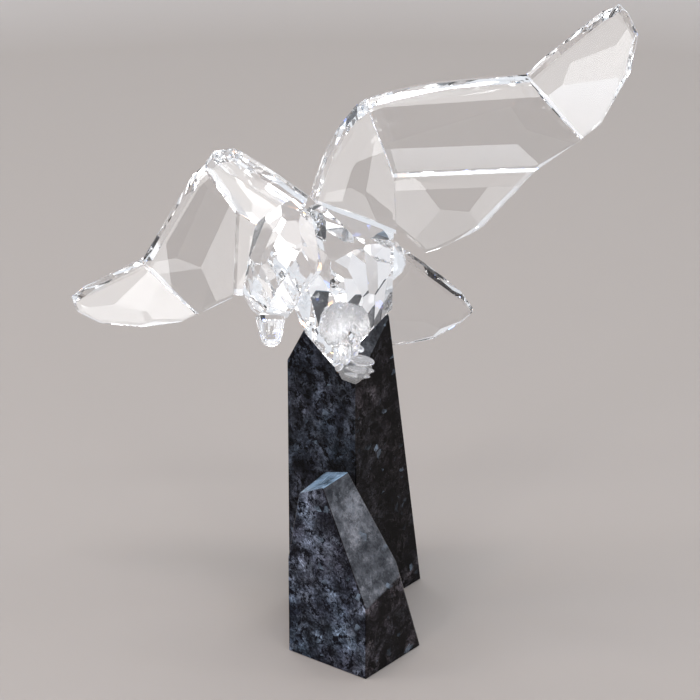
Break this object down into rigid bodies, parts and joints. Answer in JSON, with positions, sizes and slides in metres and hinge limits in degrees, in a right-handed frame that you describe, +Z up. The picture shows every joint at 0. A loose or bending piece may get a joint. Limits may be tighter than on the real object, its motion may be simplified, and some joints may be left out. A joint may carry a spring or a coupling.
{
  "type": "crystal eagle figurine",
  "caption": "Faceted clear crystal eagle alighting with raised wings on two leaning blocks of dark flecked granite.",
  "frame": {"origin": "middle of the tall block's underside, on the table", "axes": "+Z up, -Y towards the front, where the eagle's underside and the short block are"},
  "size_m": [0.3491, 0.1727, 0.4307],
  "materials": {
    "crystal": "gloss",
    "granite": "gloss"
  },
  "bodies": {
    "root": {"tall_stone": "granite", "short_stone": "granite", "body": "crystal", "rump": "crystal", "tail": "crystal", "head": "crystal", "beak": "crystal", "legs": "crystal", "left_wing_arm": "crystal", "left_wing_middle": "crystal", "left_wing_inner": "crystal", "left_wing_tip": "crystal", "right_wing_arm": "crystal", "right_wing_middle": "crystal", "right_wing_inner": "crystal", "right_wing_tip": "crystal"}
  },
  "joints": []
}
